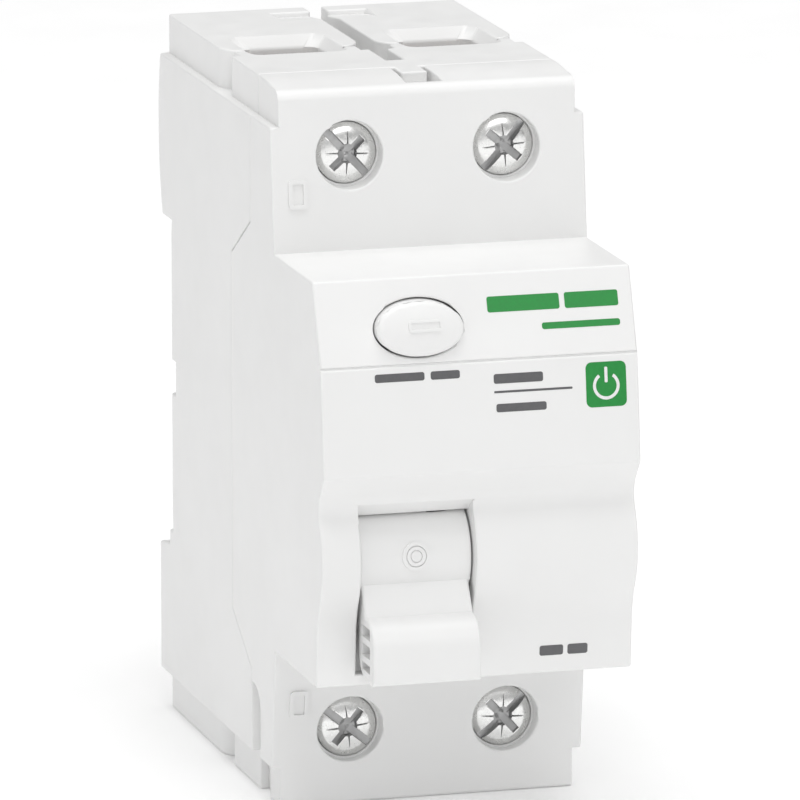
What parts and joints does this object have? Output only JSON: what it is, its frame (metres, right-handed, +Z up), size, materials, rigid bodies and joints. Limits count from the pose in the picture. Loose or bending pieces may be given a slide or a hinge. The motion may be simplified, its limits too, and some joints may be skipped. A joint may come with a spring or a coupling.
{
  "type": "residual current device",
  "caption": "Rail mounted residual current circuit breaker: white two part case, lever toggle, oval test button, recessed terminal screws, sliding rail clip.",
  "frame": {"origin": "on the rail seat, at mid width, on the centre line of the 35 mm rail", "axes": "+X across the poles to the right as seen from the front, -Y out of the front, +Y into the rail, +Z up"},
  "size_m": [0.036, 0.0738, 0.0816],
  "materials": {
    "case_plastic": "fine satin thermoplastic, off white",
    "clip_plastic": "satin thermoplastic, off white",
    "toggle_plastic": "satin thermoplastic, off white",
    "button_plastic": "satin thermoplastic, off white",
    "crossbar_plastic": "moulded thermoset",
    "relay_plastic": "moulded thermoplastic",
    "barrier_plastic": "pressed fibre board",
    "zinc_steel": "zinc plated",
    "spring_steel": "drawn wire",
    "pin_steel": "ground",
    "copper": "rolled copper",
    "braid_copper": "braided copper strands",
    "silver": "silver alloy, dull",
    "core_metal": "wound nanocrystalline strip",
    "winding": "enamelled copper wire",
    "magnet": "sintered magnet, coated",
    "resistor": "lacquered film resistor"
  },
  "bodies": {
    "housing": {"rear_base": "case_plastic", "front_cover": "case_plastic", "toggle_pin": "pin_steel", "carrier_pin": "pin_steel", "trip_lever_pin": "pin_steel", "toggle_spring": "spring_steel", "trip_lever_spring": "spring_steel", "test_button_spring": "spring_steel", "rail_clip_spring": "spring_steel", "line_bar_left": "copper", "line_bar_right": "copper", "load_bar_left": "copper", "load_bar_right": "copper", "fixed_tips": "silver", "primary_strand_left": "copper", "primary_strand_right": "copper", "braid_left": "braid_copper", "braid_right": "braid_copper", "ring_core": "core_metal", "core_case": "relay_plastic", "core_case_lid": "relay_plastic", "secondary_winding": "winding", "relay_case": "relay_plastic", "relay_lid": "relay_plastic", "relay_yoke": "core_metal", "relay_coil": "winding", "relay_magnet": "magnet", "test_contact_leaf": "copper", "test_contact_strip": "copper", "test_resistor": "resistor", "phase_barrier": "barrier_plastic"},
    "toggle": {"toggle": "toggle_plastic"},
    "toggle_link": {"toggle_link": "zinc_steel"},
    "contact_carrier": {"contact_carrier": "crossbar_plastic", "moving_contact_left": "copper", "moving_contact_right": "copper", "moving_tips": "silver", "contact_spring_left": "spring_steel", "contact_spring_right": "spring_steel"},
    "trip_lever": {"trip_lever": "crossbar_plastic"},
    "relay_plunger": {"relay_plunger": "pin_steel"},
    "test_button": {"test_button": "button_plastic"},
    "rail_clip": {"rail_clip": "clip_plastic"},
    "cage_upper_left": {"cage_upper_left": "zinc_steel"},
    "cage_upper_right": {"cage_upper_right": "zinc_steel"},
    "cage_lower_left": {"cage_lower_left": "zinc_steel"},
    "cage_lower_right": {"cage_lower_right": "zinc_steel"},
    "screw_upper_left": {"screw_upper_left": "zinc_steel"},
    "screw_upper_right": {"screw_upper_right": "zinc_steel"},
    "screw_lower_left": {"screw_lower_left": "zinc_steel"},
    "screw_lower_right": {"screw_lower_right": "zinc_steel"}
  },
  "joints": [
    {"name": "toggle_turn", "type": "hinge", "parent": "housing", "child": "toggle", "pos_m": [-0.00698, -0.058, -0.0087], "axis": [-1, 0, 0], "range_deg": [0, 80]},
    {"name": "link_turn", "type": "hinge", "parent": "toggle", "child": "toggle_link", "pos_m": [-0.004, -0.05838, -0.00653], "axis": [-1, 0, 0], "range_deg": [-80, 0]},
    {"name": "carrier_turn", "type": "hinge", "parent": "housing", "child": "contact_carrier", "pos_m": [0, -0.033, -0.002], "axis": [-1, 0, 0], "range_deg": [0, 12.4]},
    {"name": "trip_lever_turn", "type": "hinge", "parent": "housing", "child": "trip_lever", "pos_m": [0, -0.046, 0.009], "axis": [-1, 0, 0], "range_deg": [0, 15], "stiffness_Nm_per_rad": 0.02, "springref_deg": -5.73},
    {"name": "plunger_slide", "type": "slide", "parent": "housing", "child": "relay_plunger", "axis": [0, 0, 1], "range_m": [0, 0.0013]},
    {"name": "test_button_press", "type": "slide", "parent": "housing", "child": "test_button", "axis": [0, 1, 0], "range_m": [0, 0.002], "stiffness_N_per_m": 800, "springref_m": -0.0005},
    {"name": "rail_clip_slide", "type": "slide", "parent": "housing", "child": "rail_clip", "axis": [0, 0, -1], "range_m": [0, 0.004], "stiffness_N_per_m": 3000, "springref_m": -0.001, "deforming": ["rail_clip_spring"]},
    {"name": "screw_upper_left_turn", "type": "hinge", "parent": "housing", "child": "screw_upper_left", "pos_m": [-0.009, -0.035, 0.0329], "axis": [0, 1, 0], "range_deg": [0, 4321]},
    {"name": "cage_upper_left_slide", "type": "slide", "parent": "housing", "child": "cage_upper_left", "axis": [0, -1, 0], "range_m": [0, 0.0096]},
    {"name": "screw_upper_right_turn", "type": "hinge", "parent": "housing", "child": "screw_upper_right", "pos_m": [0.009, -0.035, 0.0329], "axis": [0, 1, 0], "range_deg": [0, 4321]},
    {"name": "cage_upper_right_slide", "type": "slide", "parent": "housing", "child": "cage_upper_right", "axis": [0, -1, 0], "range_m": [0, 0.0096]},
    {"name": "screw_lower_left_turn", "type": "hinge", "parent": "housing", "child": "screw_lower_left", "pos_m": [-0.009, -0.035, -0.0322], "axis": [0, 1, 0], "range_deg": [0, 4321]},
    {"name": "cage_lower_left_slide", "type": "slide", "parent": "housing", "child": "cage_lower_left", "axis": [0, -1, 0], "range_m": [0, 0.0096]},
    {"name": "screw_lower_right_turn", "type": "hinge", "parent": "housing", "child": "screw_lower_right", "pos_m": [0.009, -0.035, -0.0322], "axis": [0, 1, 0], "range_deg": [0, 4321]},
    {"name": "cage_lower_right_slide", "type": "slide", "parent": "housing", "child": "cage_lower_right", "axis": [0, -1, 0], "range_m": [0, 0.0096]}
  ],
  "couplings": [
    {"joint": "link_turn", "follows": "toggle_turn", "ratio": -1},
    {"joint": "carrier_turn", "follows": "toggle_turn", "ratio": 0.155},
    {"joint": "trip_lever_turn", "follows": "plunger_slide", "rad_per_m": 200},
    {"joint": "screw_upper_left_turn", "follows": "cage_upper_left_slide", "rad_per_m": 7854},
    {"joint": "screw_upper_right_turn", "follows": "cage_upper_right_slide", "rad_per_m": 7854},
    {"joint": "screw_lower_left_turn", "follows": "cage_lower_left_slide", "rad_per_m": 7854},
    {"joint": "screw_lower_right_turn", "follows": "cage_lower_right_slide", "rad_per_m": 7854}
  ]
}
